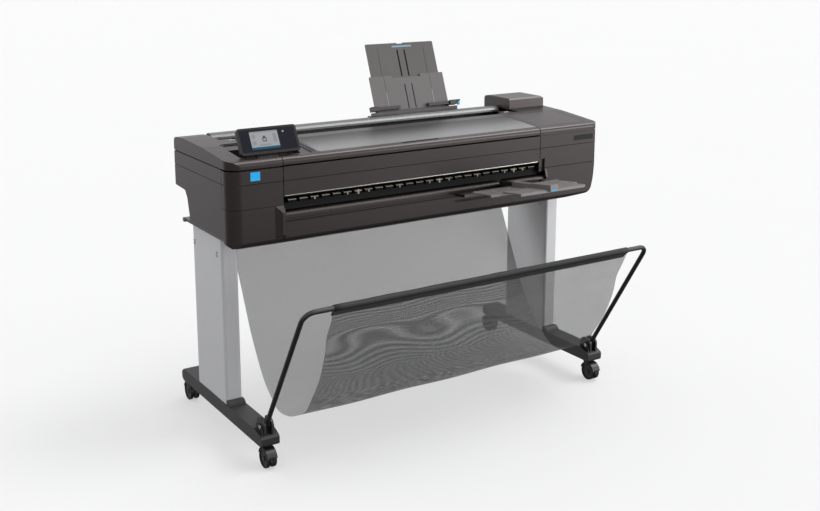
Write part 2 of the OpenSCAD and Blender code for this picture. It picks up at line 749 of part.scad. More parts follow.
feed_pin = [402, 922];
module rear_feed_cover() {
    x = [trough_x[0] + 8, trough_x[1] - 8];
    outer = [[350, 928], [351, 934], [356, 940], [366, 944.5], [378, 945.5], [389, 943], [398, 936],
        [405, 926], [405, 918]];
    color([0.55, 0.56, 0.57, 0.8]) difference() {
        union() {
            prism_x(x, band(outer, -2.5));
            // Ends with the hinge holes
            for (e = [[x[0], x[0] + 3], [x[1] - 3, x[1]]])
                prism_x(e, [[353, 930], [357, 938], [378, 944], [388, 941.5], [397, 934.5], [403.5, 925], [403.5, 918.5],
                    [398, 917.5], [396, 926], [380, 930]]);
        }
        rod_x([-hw, hw], feed_pin[0], feed_pin[1], 1.8 + run);
    }
}

// ---------- touchscreen ----------

module in_screen() { translate([0, screen_at[0], screen_at[1]]) rotate([screen_lean, 0, 0]) children(); }
screen_h = 80;
screen_z = [5, 17];
// The panel lies in the x-y plane in front of its hinge line, its face on the upper z.
module screen_housing() {
    color("#2c2725") in_screen() difference() {
        union() {
            plate(screen_x, [-4, screen_h], screen_z, 9);
            for (x = screen_ear_x) {
                rod_x([x + 0.4, x + 31.6], 0, 0, 4);
                box([x + 0.4, x + 31.6], [-4, 4], [0, screen_z[0] + 1]);
            }
        }
        plate([screen_x[0] + 7, screen_x[1] - 7], [4, screen_h - 6], [screen_z[1] - 1.4, screen_z[1] + 1], 4);
        rod_x([-hw, 0], 0, 0, 1.8 + run);
    }
}
module screen_glass() {
    color("#20222c") in_screen() plate([screen_x[0] + 7.3, screen_x[1] - 7.3], [4.3, screen_h - 6.3],
        [screen_z[1] - 1.4, screen_z[1] + 0.2], 3.8);
}

// ---------- sheet feeder ----------

tray_at = [419, 950];         // face of the tray, y at z
// Local x-y is the face of the tray, +y up the slope, +z out towards the sheet.
module in_tray() { translate([tray_x, tray_at[0], tray_at[1]]) rotate([90 - tray_lean, 0, 0]) children(); }
panel_w = 312;
panel_h = 131;
ext_w = 286;
ext_top = 252;
module feeder_tray() {
    color("#8c8987") in_tray() {
        difference() {
            plate([-panel_w / 2, panel_w / 2], [-12, panel_h], [-4, 0], 4);
            box([-62, 57], [panel_h - 9, panel_h + 1], [-5, 1]);
            for (x = [-17, 13]) box([x, x + 4], [8, 98], [-1.4, 1]);
            for (x = [-98, 96]) box([x, x + 1.6], [8, panel_h - 4], [-0.8, 1]);
            // Slot in which the two guides run
            box([-151, 151], [1, 5], [-2.6, 1]);
        }
        // Rails that hold the extension behind the panel
        for (s = [-1, 1]) scale_x(s) {
            box([ext_w / 2 + 1, ext_w / 2 + 5], [60, panel_h], [-10.5, -4]);
            box([ext_w / 2 - 6, ext_w / 2 + 5], [60, panel_h], [-12.5, -10.5]);
        }
    }
    color("#332e2c") {
        difference() {
            prism_x([tray_x - 178, tray_x + 186],
                [[409, 919], [425, 919], [425, 880], [446, 880], [446, 932], [436, 940], [415, 940],
                 [418.4, 949.6], [409, 953.2]]);
            prism_x([tray_x - 170, tray_x + 178], [[430, 884], [441, 884], [441, 930], [430, 934]]);
        }
    }
}
module tray_extension() {
    color("#868381") in_tray() difference() {
        plate([-ext_w / 2, ext_w / 2], [98, ext_top], [-10.1, -6.6], 4);
        box([-12, 14], [ext_top - 3, ext_top + 1], [-11, -5]);
        for (x = [-18, 12]) box([x, x + 6], [128, ext_top - 26], [-8.6, -5]);
        for (x = [-98, 96]) box([x, x + 1.6], [112, ext_top - 18], [-7.4, -5]);
    }
}
// A width guide lies on the face of the tray; its fence stands out at the outer edge.
module width_guide() {
    difference() {
        box([60, 156], [7, 18], [0.4, 15]);
        box([63, 152], [6, 15], [2.5, 13]);
    }
    box([152, 180], [4, 20], [0.4, 20]);
    box([146, 150], [1.4, 7], [0.4, 3.2]);
    box([146, 150], [1.4, 4.6], [-2.2, 0.4]);
}
module left_guide() { color("#38302e") in_tray() mirror([1, 0, 0]) width_guide(); }
module right_guide() {
    color("#38302e") in_tray() {
        width_guide();
        box([176, 197], [15, 20], [6, 20]);
        box([186, 194], [2, 15], [9, 17]);
    }
}

// ---------- output tray ----------

// Local frame of the output tray: +y out of the plotter and up its slope, z up.
out_at = [0, 744];
out_rise = 6.6;
module in_out() { translate([0, out_at[0], out_at[1]]) rotate([-out_rise, 0, 0]) mirror([0, 1, 0]) children(); }
spine_x = [278, 309];          // outside of the end spine
recess_x = [93, 460];
recess_z = [705, 742];
lid = 2.2;                    // wall of the spines
// A spine that covers the one behind it: n counts the walls inside its own outline.
module spine(n, y, z) {
    difference() {
        box([spine_x[0] + n * (lid + 0.4), spine_x[1] - n * (lid + 0.4)], y, [z[0], z[1]]);
        box([spine_x[0] + n * (lid + 0.4) + lid, spine_x[1] - n * (lid + 0.4) - lid],
            [y[0] - 1, y[1] - lid], [z[0] - 1, z[1] - lid]);
    }
}
module output_base() {
    color("#2f2a28") {
        // Dark recess in the roll cover
        difference() {
            box([recess_x[0] + 0.5, recess_x[1] - 0.5], [3.4, 12.5], [recess_z[0] + 0.5, recess_z[1] - 0.5]);
            box([recess_x[0] + 2.5, recess_x[1] - 2.5], [3, 10.5], [recess_z[0] + 2.5, recess_z[1] - 2.5]);
        }
        in_out() {
            difference() {
                box([recess_x[0] + 1, recess_x[1] - 1], [-11.5, 50], [-18, -9]);
                box([recess_x[0] + 4, recess_x[1] - 4], [-5, 46], [-19, -12]);
            }
            spine(2, [-30, 74], [-9.5, 9]);
        }
    }
}
module output_middle() {
    color("#5b5552") in_out() {
        difference() {
            union() {
                plate([118, 478], [60, 158], [-8.6, -4.6], 3);
                box([120, 476], [60, 63], [-8.6, -1.5]);
                box([121, 475], [155, 158], [-13.5, -5]);
            }
            box([spine_x[0] + lid + 2, spine_x[1] - lid - 2], [50, 170], [-20, 0]);
        }
        spine(1, [60, 174], [-8.6, 11.6]);
    }
}
module output_end() {
    color("#5b5552") in_out() {
        difference() {
            union() {
                plate([165, 432], [160, 252], [-4.2, -0.2], 3);
                box([167, 430], [160, 163], [-4.2, 2.6]);
                box([168, 429], [249, 252], [-9, -1]);
            }
            box([spine_x[0] + 1, spine_x[1] - 1], [150, 248], [-20, 4]);
        }
        spine(0, [160, 250], [-4.2, 14.2]);
    }
    color("#b9b6b2") in_out() box([spine_x[0], spine_x[1] + 1], [250, 262], [-6, 15]);
}

// ---------- paper path ----------

module drive_roller() {
    color("#3b3b3d") {
        rod_x([plate_x[0] - 12, plate_x[1] + 12], roller_at[0], roller_at[1], 5);
        difference() {
            for (i = [0:9])
                rod_x([plate_x[0] + 20 + i * 96, plate_x[0] + 84 + i * 96], roller_at[0], roller_at[1], drive_r);
            rod_x([-hw, hw], roller_at[0], roller_at[1], 5);
        }
    }
}
module pinch_rollers() {
    z = roller_at[1] + drive_r + pinch_r + 0.4;
    color("#56565a") {
        rod_x([plate_x[0] - 6, plate_x[1] + 6], roller_at[0], z, 2);
        difference() {
            for (i = [0:9]) rod_x([plate_x[0] + 32 + i * 96, plate_x[0] + 72 + i * 96], roller_at[0], z, pinch_r);
            rod_x([-hw, hw], roller_at[0], z, 2);
        }
    }
}

guide_at = [158, 842];
module carriage_rail() {
    color("#a9adb0") {
        rod_x([-hw + 14, hw - 14], guide_at[0], guide_at[1], 7);
        difference() {
            union() {
                box([-hw + 14, hw - 14], [200, 203], [816, 884]);
                box([-hw + 14, hw - 14], [200, 222], [881, 884]);
            }
            rod_y(hw - 34, [190, 230], 850, 3.2);
            rod_y(-hw + 34, [190, 230], 850, 3.2);
        }
        // Brackets that hold the rod
        for (x = [-hw + 14, hw - 17]) difference() {
            box([x, x + 3], [146, 200], [824, 860]);
            rod_x([x - 1, x + 4], guide_at[0], guide_at[1], 7);
        }
    }
}
carriage_x = [505, 615];
module carriage() {
    color("#2d2f33") difference() {
        union() {
            box(carriage_x, [92, 182], [816, 878]);
            box([carriage_x[0] + 8, carriage_x[1] - 8], [92, 117], [792, 816]);
            box([carriage_x[0] + 36, carriage_x[1] - 36], [182, 188], [858, 868]);
        }
        rod_x([carriage_x[0] - 1, carriage_x[1] + 1], guide_at[0], guide_at[1], 7 + run);
        for (i = [0:3]) box([carriage_x[0] + 10 + i * 23, carriage_x[0] + 31 + i * 23], [96, 140], [840, 879]);
    }
}

belt_x = hw - 34;
pulley_r = 11.8;
belt_z = 850;
module carriage_belt() {
    color("#202020") for (z = [belt_z + 12.2, belt_z - 13.4]) box([-belt_x, belt_x], [190.4, 195.6], [z, z + 1.2]);
    color("#202020") sides() intersection() {
        difference() {
            rod_y(belt_x, [190.4, 195.6], belt_z, 13.4);
            rod_y(belt_x, [190, 196], belt_z, 12.2);
        }
        box([belt_x, belt_x + 20], [180, 200], [belt_z - 20, belt_z + 20]);
    }
}
module pulley(x) {
    color("#8b8f93") difference() {
        union() {
            rod_y(x, [190.2, 195.8], belt_z, pulley_r);
            rod_y(x, [188.8, 189.9], belt_z, 10);
            rod_y(x, [189.5, 197], belt_z, 6);
        }
        rod_y(x, [188, 198], belt_z, 2.5 + run);
    }
}
module drive_pulley() { pulley(belt_x); }
module idler_pulley() { pulley(-belt_x); }
// Carriage motor, the idler stud, and the roller motor with its pinion.
module drive_motors() {
    color("#5d6063") {
        rod_y(belt_x, [203, 246], belt_z, 17);
        rod_y(belt_x, [188, 203], belt_z, 2.5);
        rod_y(-belt_x, [188, 200], belt_z, 2.5);
        rod_y(-belt_x, [203, 210], belt_z, 8);
        rod_y(-belt_x, [200, 203], belt_z, 2.5);
        // Motor on the shaft of the drive roller
        rod_x([plate_x[0] - 66, plate_x[0] - 16], roller_at[0], roller_at[1], 18);
        for (y = [-13, 13]) rod_x([plate_x[0] - 17, plate_x[0] - 2], roller_at[0] + y, roller_at[1], 2.5);
    }
}

cutter_x = [440, 462];
module cutter() {
    color("#3e4145") {
        difference() {
            box(cutter_x, [38, 62], [796, 818]);
            box([cutter_x[0] - 1, cutter_x[1] + 1], [46.4, 53.6], [807.5, 819]);
        }
        rod_y((cutter_x[0] + cutter_x[1]) / 2, [35, 38.5], 798, 7);
    }
}
module service_station() {
    color("#3a3c40") difference() {
        box([500, 630], [70, 122], [pan_z[1] + wall, 786]);
        for (i = [0:3]) box([512 + i * 28, 532 + i * 28], [82, 112], [770, 787]);
    }
}
module ink_cartridges() {
    colors = ["#2b2b2b", "#2f6f9a", "#9a3f6c", "#b59a3a"];
    for (i = [0:3]) color(colors[i]) difference() {
        box([-hw + 22 + i * 35, -hw + 52 + i * 35], [9, 82], [786, 872]);
        box([-hw + 30 + i * 35, -hw + 44 + i * 35], [8, 14], [800, 830]);
    }
}

// ---------- roll holder ----------

roll_r = 40;
module roll_spindle() {
    color("#24272b") {
        difference() {
            union() {
                rod_x([plate_x[0] - 6, plate_x[0] + 12], spindle_at[0], spindle_at[1], 8);
                rod_x([plate_x[0] + 12, plate_x[1] - 8], spindle_at[0], spindle_at[1], 20);
                rod_x([plate_x[1] - 8, plate_x[1] + 6], spindle_at[0], spindle_at[1], 8);
                rod_x([plate_x[0] + 8, plate_x[0] + 14], spindle_at[0], spindle_at[1], roll_r - 4);
                rod_x([plate_x[0] + 14, plate_x[0] + 44], spindle_at[0], spindle_at[1], 25);
            }
            rod_x([plate_x[0] + 16, plate_x[1] - 12], spindle_at[0], spindle_at[1], 17);
        }
    }
}
hub_x = plate_x[1] - 62;
module spindle_hub() {
    color("#2e6c8f") difference() {
        union() {
            rod_x([hub_x + 30, hub_x + 36], spindle_at[0], spindle_at[1], roll_r - 4);
            rod_x([hub_x, hub_x + 30], spindle_at[0], spindle_at[1], 25);
        }
        rod_x([hub_x - 1, hub_x + 37], spindle_at[0], spindle_at[1], 20 + run);
    }
}

// ---------- electronics ----------

module main_board() {
    color("#2f5a3c") box([-220, 60], [352, 354], [800, 884]);
    color("#b8bcc0") {
        box([port_x[0] + 1, port_x[0] + 17], [354, 423], [807, 821]);
        box([port_x[0] + 20, port_x[0] + 36], [354, 423], [807, 815]);
    }
    color("#3c3f42") for (x = [-190, -120, 10]) box([x, x + 30], [345, 352], [830, 860]);
}
module power_supply() {
    color("#9da1a4") box([240, 400], [350, 416], [792, 876]);
    color("#161616") difference() {
        box([inlet_x[0] + 1, inlet_x[1] - 1], [416, 426], [807, 828]);
        box([inlet_x[0] + 4, inlet_x[1] - 4], [420, 427], [810, 825]);
    }
    // Blades of the inlet, the middle one higher
    color("#c8b070") for (x = [-7, 0, 7])
        box([314 + x, 316 + x], [420, 425], [815 + (x == 0 ? 3 : 0), 819 + (x == 0 ? 3 : 0)]);
}

in_frame() left_foot();
in_frame() right_foot();
in_frame() left_column();
in_frame() right_column();
in_frame() stand_crossbeam();
in_frame() stand_fasteners();
in_frame() bail_brackets();
in_frame() fabric_rod();
in_frame() rear_fabric();
in_frame() bail();
in_frame() front_fabric();
in_frame() front_left_caster();
in_frame() front_right_caster();
in_frame() rear_left_caster();
in_frame() rear_right_caster();
in_frame() front_left_wheels();
in_frame() front_right_wheels();
in_frame() rear_left_wheels();
in_frame() rear_right_wheels();
in_frame() base_pan();
in_frame() side_plates();
in_frame() left_end_cap();
in_frame() right_end_cap();
in_frame() left_top_cover();
in_frame() right_top_cover();
in_frame() front_panel();
in_frame() rear_cover();
in_frame() feed_trough();
in_frame() rear_box();
in_frame() output_bar();
in_frame() platen();
in_frame() window_frame();
in_frame() window_glass();
in_frame() roll_cover();
in_frame() ink_door();
in_frame() rear_feed_cover();
in_frame() screen_housing();
in_frame() screen_glass();
in_frame() feeder_tray();
in_frame() tray_extension();
in_frame() left_guide();
in_frame() right_guide();
in_frame() output_base();
in_frame() output_middle();
in_frame() output_end();
in_frame() drive_roller();
in_frame() pinch_rollers();
in_frame() carriage();
in_frame() carriage_rail();
in_frame() carriage_belt();
in_frame() drive_pulley();
in_frame() idler_pulley();
in_frame() drive_motors();
in_frame() cutter();
in_frame() service_station();
in_frame() ink_cartridges();
in_frame() roll_spindle();
in_frame() spindle_hub();
in_frame() main_board();
in_frame() power_supply();
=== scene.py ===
"""Looks of the large format plotter: materials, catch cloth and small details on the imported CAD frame."""
import json
import math

import bmesh
import bpy
from mathutils import Euler, Matrix, Vector


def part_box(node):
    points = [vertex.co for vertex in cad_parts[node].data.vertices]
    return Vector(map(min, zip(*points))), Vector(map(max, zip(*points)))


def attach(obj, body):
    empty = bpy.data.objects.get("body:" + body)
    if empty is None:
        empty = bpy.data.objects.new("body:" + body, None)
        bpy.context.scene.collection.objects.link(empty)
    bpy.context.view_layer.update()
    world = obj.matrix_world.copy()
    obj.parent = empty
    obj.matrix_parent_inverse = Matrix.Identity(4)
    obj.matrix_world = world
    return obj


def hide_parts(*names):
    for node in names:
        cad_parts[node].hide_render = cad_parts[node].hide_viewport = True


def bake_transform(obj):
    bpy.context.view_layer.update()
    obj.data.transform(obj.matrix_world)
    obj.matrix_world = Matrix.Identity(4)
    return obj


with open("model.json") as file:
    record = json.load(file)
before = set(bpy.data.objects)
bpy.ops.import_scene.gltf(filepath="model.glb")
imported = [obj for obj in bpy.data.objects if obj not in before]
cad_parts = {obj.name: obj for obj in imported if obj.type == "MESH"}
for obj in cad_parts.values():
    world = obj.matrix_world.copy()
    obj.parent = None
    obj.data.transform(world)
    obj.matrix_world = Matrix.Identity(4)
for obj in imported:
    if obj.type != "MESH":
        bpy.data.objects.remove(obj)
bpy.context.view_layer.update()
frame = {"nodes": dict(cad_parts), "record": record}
nodes = frame["nodes"]
scene = bpy.context.scene

MM = 0.001
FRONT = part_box("front_panel")[0].y          # front face of the body
ROOT = "stand_and_body"


def at(x, y, z):
    """A point given in millimetres from the middle of the front face, at floor level."""
    return Vector((x * MM, FRONT + y * MM, z * MM))


# ---------------------------------------------------------------- camera, light and floor

def add_camera():
    yaw, pitch = math.radians(32.48), math.radians(11.853)
    data = bpy.data.cameras.new("camera")
    data.lens, data.sensor_width = 48.638, 36.0
    data.shift_x, data.shift_y = 0.0049, -0.10
    data.clip_end = 100.0
    camera = bpy.data.objects.new("camera", data)
    camera.location = at(-1940.0, -2893.6, 1543.6)
    camera.rotation_euler = Euler((math.pi / 2 - pitch, 0.0, -yaw), "XYZ")
    scene.collection.objects.link(camera)
    scene.camera = camera


# Brightness of the studio from straight below (0) to straight above (1).
SKY_LEVELS = ((0.0, 0.10), (0.42, 0.24), (0.50, 0.82), (0.72, 0.80), (1.0, 1.15))
# Broad soft boxes, seen mostly as reflections: the direction towards each, its strength and how narrow it is.
SOFT_BOXES = (
    ((0.72, -0.69, -0.10), 4.6, 0.92),
    ((-0.45, 0.88, -0.15), 1.5, 0.88),
    ((0.55, -0.19, 0.81), 3.0, 0.88),
)
# Strength and turn, in degrees, of each sun.
SUNS = {
    "front": (0.90, (82, 0, 50)),
    "left": (0.12, (62, 0, -62)),
    "top": (0.85, (38, 0, 68)),
    "back": (0.35, (80, 0, 205)),
}


def add_world():
    world = bpy.data.worlds.new("studio")
    world.use_nodes = True
    tree = world.node_tree
    background = tree.nodes["Background"]
    sky = tree.nodes.new("ShaderNodeTexCoord").outputs["Generated"]

    split = tree.nodes.new("ShaderNodeSeparateXYZ")
    tree.links.new(sky, split.inputs["Vector"])
    half = tree.nodes.new("ShaderNodeMath")
    half.operation = "MULTIPLY_ADD"
    half.inputs[1].default_value = half.inputs[2].default_value = 0.5
    tree.links.new(split.outputs["Z"], half.inputs[0])
    height = tree.nodes.new("ShaderNodeValToRGB")
    ramp = height.color_ramp
    ramp.interpolation = "EASE"
    for i, (place, level) in enumerate(SKY_LEVELS):
        stop = ramp.elements[i] if i < 2 else ramp.elements.new(place)
        stop.position, stop.color = place, (0.98 * level, 0.985 * level, level, 1.0)
    tree.links.new(half.outputs[0], height.inputs["Fac"])
    tree.links.new(height.outputs["Color"], background.inputs["Color"])

    total = None
    for toward, strength, narrow in SOFT_BOXES:
        facing = tree.nodes.new("ShaderNodeVectorMath")
        facing.operation = "DOT_PRODUCT"
        facing.inputs[1].default_value = toward
        tree.links.new(sky, facing.inputs[0])
        patch = tree.nodes.new("ShaderNodeMapRange")
        patch.interpolation_type = "SMOOTHSTEP"
        patch.inputs["From Min"].default_value = narrow
        patch.inputs["To Max"].default_value = strength
        tree.links.new(facing.outputs["Value"], patch.inputs["Value"])
        both = tree.nodes.new("ShaderNodeMath")
        both.operation = "ADD"
        both.inputs[0].default_value = 1.0
        if total:
            tree.links.new(total, both.inputs[0])
        tree.links.new(patch.outputs["Result"], both.inputs[1])
        total = both.outputs[0]
    tree.links.new(total, background.inputs["Strength"])
    scene.world = world


def add_suns():
    for name, (strength, turn) in SUNS.items():
        data = bpy.data.lights.new(name, "SUN")
        data.energy, data.angle = strength, math.radians(26)
        sun = bpy.data.objects.new(name, data)
        sun.rotation_euler = Euler([math.radians(t) for t in turn], "XYZ")
        scene.collection.objects.link(sun)
    scene.view_settings.view_transform = "Standard"
    scene.view_settings.look = "None"


# ---------------------------------------------------------------- materials

MESH_PITCH = 0.0026    # from thread to thread of the catch cloth, in metres


class Nodes:
    """A short way to build a node tree."""

    def __init__(self, name):
        self.material = bpy.data.materials.new(name)
        self.material.use_nodes = True
        self.tree = self.material.node_tree
        self.shader = self.tree.nodes["Principled BSDF"]
        self.coordinates = self.add("ShaderNodeTexCoord").outputs["Object"]

    def add(self, kind, **values):
        node = self.tree.nodes.new(kind)
        for key, value in values.items():
            if hasattr(node, key):
                setattr(node, key, value)
            else:
                node.inputs[key.replace("_", " ")].default_value = value
        return node

    def link(self, source, target):
        self.tree.links.new(source, target)

    def stretched(self, scale):
        mapping = self.add("ShaderNodeMapping")
        mapping.inputs["Scale"].default_value = scale
        self.link(self.coordinates, mapping.inputs["Vector"])
        return mapping.outputs["Vector"]

    def noise(self, scale, detail=3.0, vector=None, roughness=0.55):
        node = self.add("ShaderNodeTexNoise", Scale=scale, Detail=detail, Roughness=roughness)
        self.link(vector or self.coordinates, node.inputs["Vector"])
        return node.outputs["Fac"]

    def between(self, factor, low, high):
        node = self.add("ShaderNodeMapRange")
        node.inputs["To Min"].default_value, node.inputs["To Max"].default_value = low, high
        self.link(factor, node.inputs["Value"])
        return node.outputs["Result"]

    def tint(self, factor, dark, light):
        mix = self.add("ShaderNodeMix", data_type="RGBA")
        self.link(factor, mix.inputs["Factor"])
        mix.inputs["A"].default_value = (*dark, 1.0)
        mix.inputs["B"].default_value = (*light, 1.0)
        return mix.outputs["Result"]

    def bump(self, height, distance, strength=1.0):
        node = self.add("ShaderNodeBump", Strength=strength, Distance=distance)
        self.link(height, node.inputs["Height"])
        self.link(node.outputs["Normal"], self.shader.inputs["Normal"])

    def set(self, **values):
        for key, value in values.items():
            self.shader.inputs[key.replace("_", " ")].default_value = value

    def feed(self, key, output):
        self.link(output, self.shader.inputs[key])


def shade(color, factor):
    return tuple(min(1.0, c * factor) for c in color)


def moulded(name, color, roughness=0.42, vary=0.10, specular=0.5, tint=(1.0, 1.0, 1.0)):
    """Moulded plastic: fine even grain, with a faint cloudiness in its colour and gloss."""
    m = Nodes(name)
    cloud = m.noise(9.0, 4.0)
    m.feed("Base Color", m.tint(cloud, shade(color, 1 - vary), shade(color, 1 + vary)))
    m.feed("Roughness", m.between(m.noise(420.0, 2.0), roughness - 0.05, roughness + 0.05))
    m.bump(m.noise(2600.0, 2.0), 0.00006)
    m.set(Specular_IOR_Level=specular, Specular_Tint=(*tint, 1.0))
    return m.material


def powder_coat(name, color, roughness=0.5):
    """Powder-coated steel: a fine orange-peel skin."""
    m = Nodes(name)
    m.feed("Base Color", m.tint(m.noise(14.0, 3.0), shade(color, 0.88), shade(color, 1.12)))
    m.feed("Roughness", m.between(m.noise(260.0, 2.0), roughness - 0.08, roughness + 0.08))
    m.bump(m.noise(900.0, 1.5), 0.00012)
    return m.material


def brushed(name, color, roughness=0.36, along=(900.0, 900.0, 6.0), metallic=1.0):
    """Metal with fine lines along one axis."""
    m = Nodes(name)
    lines = m.noise(1.0, 3.0, m.stretched(along))
    m.feed("Base Color", m.tint(lines, shade(color, 0.9), shade(color, 1.08)))
    m.feed("Roughness", m.between(lines, roughness - 0.06, roughness + 0.08))
    m.bump(lines, 0.00003)
    m.set(Metallic=metallic)
    return m.material


def rubber(name, color):
    m = Nodes(name)
    m.feed("Base Color", m.tint(m.noise(30.0, 3.0), shade(color, 0.8), shade(color, 1.2)))
    m.feed("Roughness", m.between(m.noise(500.0), 0.62, 0.8))
    m.bump(m.noise(1500.0, 2.0), 0.0001)
    return m.material


def clear_cover(name, dark, light, y_range, alpha, roughness, specular, coat):
    """Smoked translucent plastic with painted light: its colour is lighter towards its front edge and darker
    further back.
    """
    m = Nodes(name)
    split = m.add("ShaderNodeSeparateXYZ")
    m.link(m.add("ShaderNodeTexCoord").outputs["Object"], split.inputs["Vector"])
    # Painted light: a ramp along y that lightens the colour towards the front edge.
    painted_light_ramp = m.add("ShaderNodeMapRange", interpolation_type="SMOOTHSTEP")
    painted_light_ramp.inputs["From Min"].default_value, painted_light_ramp.inputs["From Max"].default_value = y_range
    m.link(split.outputs["Y"], painted_light_ramp.inputs["Value"])
    cloud = m.add("ShaderNodeMath", operation="MULTIPLY_ADD")
    cloud.inputs[1].default_value, cloud.inputs[2].default_value = 0.12, -0.06
    m.link(m.noise(4.0, 2.0), cloud.inputs[0])
    both = m.add("ShaderNodeMath", operation="ADD")
    m.link(painted_light_ramp.outputs["Result"], both.inputs[0])
    m.link(cloud.outputs[0], both.inputs[1])
    m.feed("Base Color", m.tint(both.outputs[0], light, dark))
    m.feed("Roughness", m.between(m.noise(60.0, 2.0), roughness - 0.03, roughness + 0.04))
    m.bump(m.noise(35.0, 1.0), 0.00004)
    m.set(Alpha=alpha, Specular_IOR_Level=specular, Coat_Weight=coat, Coat_Roughness=0.2)
    return m.material


def mesh_cloth(name, thread, edge, haze):
    """Open plain weave: two sets of round threads with holes between them."""
    m = Nodes(name)
    split = m.add("ShaderNodeSeparateXYZ")
    uv = m.add("ShaderNodeTexCoord").outputs["UV"]
    m.link(uv, split.inputs["Vector"])
    ridges = []
    for axis in ("X", "Y"):
        turn = m.add("ShaderNodeMath", operation="MULTIPLY")
        turn.inputs[1].default_value = math.pi / MESH_PITCH
        m.link(split.outputs[axis], turn.inputs[0])
        wave = m.add("ShaderNodeMath", operation="SINE")
        m.link(turn.outputs[0], wave.inputs[0])
        size = m.add("ShaderNodeMath", operation="ABSOLUTE")
        m.link(wave.outputs[0], size.inputs[0])
        ridges.append(size.outputs[0])
    top = m.add("ShaderNodeMath", operation="MAXIMUM")
    m.link(ridges[0], top.inputs[0])
    m.link(ridges[1], top.inputs[1])
    solid = m.add("ShaderNodeMapRange", interpolation_type="SMOOTHSTEP")
    solid.inputs["From Min"].default_value, solid.inputs["From Max"].default_value = edge - 0.06, edge + 0.06
    solid.inputs["To Min"].default_value, solid.inputs["To Max"].default_value = haze, 1.0
    m.link(top.outputs[0], solid.inputs["Value"])
    m.feed("Alpha", solid.outputs["Result"])
    m.feed("Base Color", m.tint(m.noise(600.0, 2.0), shade(thread, 0.8), shade(thread, 1.25)))
    m.bump(top.outputs[0], 0.0003)
    m.set(Roughness=0.75, Sheen_Weight=0.1, Sheen_Roughness=0.4)
    return m.material


def plain(name, color, roughness=0.5, grain=1500.0, glow=0.0, specular=0.5):
    """A small part: one colour with a faint grain."""
    m = Nodes(name)
    m.feed("Base Color", m.tint(m.noise(40.0), shade(color, 0.92), shade(color, 1.08)))
    m.feed("Roughness", m.between(m.noise(300.0), roughness - 0.05, roughness + 0.05))
    m.bump(m.noise(grain, 1.0), 0.00003)
    m.set(Specular_IOR_Level=specular)
    if glow:
        m.set(Emission_Color=(*color, 1.0), Emission_Strength=glow)
    return m.material


UMBER = (0.0165, 0.0125, 0.0123)
MATERIALS = {
    "umber_shell": moulded("umber_shell", UMBER, 0.33, tint=(1.0, 0.88, 0.88)),
    "black_plastic": moulded("black_plastic", (0.010, 0.0098, 0.0098), 0.42, vary=0.2),
    "black_steel": powder_coat("black_steel", (0.014, 0.014, 0.014), 0.46),
    "silver_metal": brushed("silver_metal", (0.60, 0.60, 0.605), 0.42, metallic=0.35),
    "steel": brushed("steel", (0.50, 0.51, 0.52), 0.38, along=(12.0, 700.0, 700.0)),
    "pan_metal": powder_coat("pan_metal", (0.16, 0.145, 0.14), 0.4),
    "bright_bar": brushed("bright_bar", (0.40, 0.40, 0.375), 0.30, along=(5.0, 900.0, 900.0)),
    # Both windows carry painted light: their colour runs from light at the front edge to dark behind.
    "smoked_window": clear_cover("smoked_window", (0.012, 0.0125, 0.013), (0.190, 0.190, 0.190),
                                 (FRONT + 0.03, FRONT + 0.19), 0.96, 0.34, 0.25, 0.08),
    "feed_window": clear_cover("feed_window", (0.028, 0.029, 0.030), (0.10, 0.10, 0.10),
                               (FRONT + 0.36, FRONT + 0.38), 0.97, 0.30, 0.5, 0.3),
    "screen": plain("screen", (0.006, 0.007, 0.012), 0.22, 300.0, specular=0.15),
    "bezel": moulded("bezel", (0.0110, 0.0075, 0.0070), 0.36, specular=0.25),
    "tray_grey": moulded("tray_grey", (0.100, 0.093, 0.091), 0.45),
    "wheel": moulded("wheel", (0.009, 0.009, 0.0095), 0.45, specular=0.35),
    "grip_rubber": rubber("grip_rubber", (0.02, 0.02, 0.021)),
    # One catch cloth in two copies of the same weave: darker threads in front are painted shade, lighter
    # threads behind are painted light.
    "front_mesh": mesh_cloth("front_mesh", (0.046, 0.046, 0.047), 0.81, 0.03),
    "rear_mesh": mesh_cloth("rear_mesh", (0.140, 0.140, 0.142), 0.76, 0.08),
    "blue_plastic": moulded("blue_plastic", (0.03, 0.12, 0.27), 0.4),
    "inner_grey": moulded("inner_grey", (0.030, 0.031, 0.033), 0.45),
    "board": moulded("board", (0.02, 0.075, 0.035), 0.4),
    "belt": rubber("belt", (0.012, 0.012, 0.012)),
    "cartridge": moulded("cartridge", (0.02, 0.02, 0.021), 0.4),
    "output_grey": moulded("output_grey", (0.140, 0.129, 0.127), 0.36),
    "extension_grey": moulded("extension_grey", (0.068, 0.061, 0.059), 0.45),
    "guide_brown": moulded("guide_brown", (0.034, 0.028, 0.027), 0.38),
    "deep_black": moulded("deep_black", (0.0035, 0.0040, 0.0045), 0.55, specular=0.1),
    "webbing": rubber("webbing", (0.010, 0.010, 0.0105)),
    "light_plastic": moulded("light_plastic", (0.30, 0.29, 0.285), 0.4),
    "tan": plain("tan", (0.46, 0.39, 0.31), 0.5),
    "blue_label": plain("blue_label", (0.022, 0.40, 0.80), 0.4, specular=0.2),
    "pale_blue": plain("pale_blue", (0.17, 0.29, 0.36), 0.4),
    "dark_label": plain("dark_label", (0.019, 0.017, 0.0165), 0.4, specular=0.15),
    "lit_panel": plain("lit_panel", (0.23, 0.235, 0.24), 0.4, glow=0.12, specular=0.1),
    "lit_blue": plain("lit_blue", (0.006, 0.055, 0.10), 0.4, glow=0.2, specular=0.1),
    "lit_grey": plain("lit_grey", (0.18, 0.185, 0.19), 0.4, glow=0.1, specular=0.1),
    "lit_dark": plain("lit_dark", (0.05, 0.055, 0.06), 0.4, specular=0.1),
}


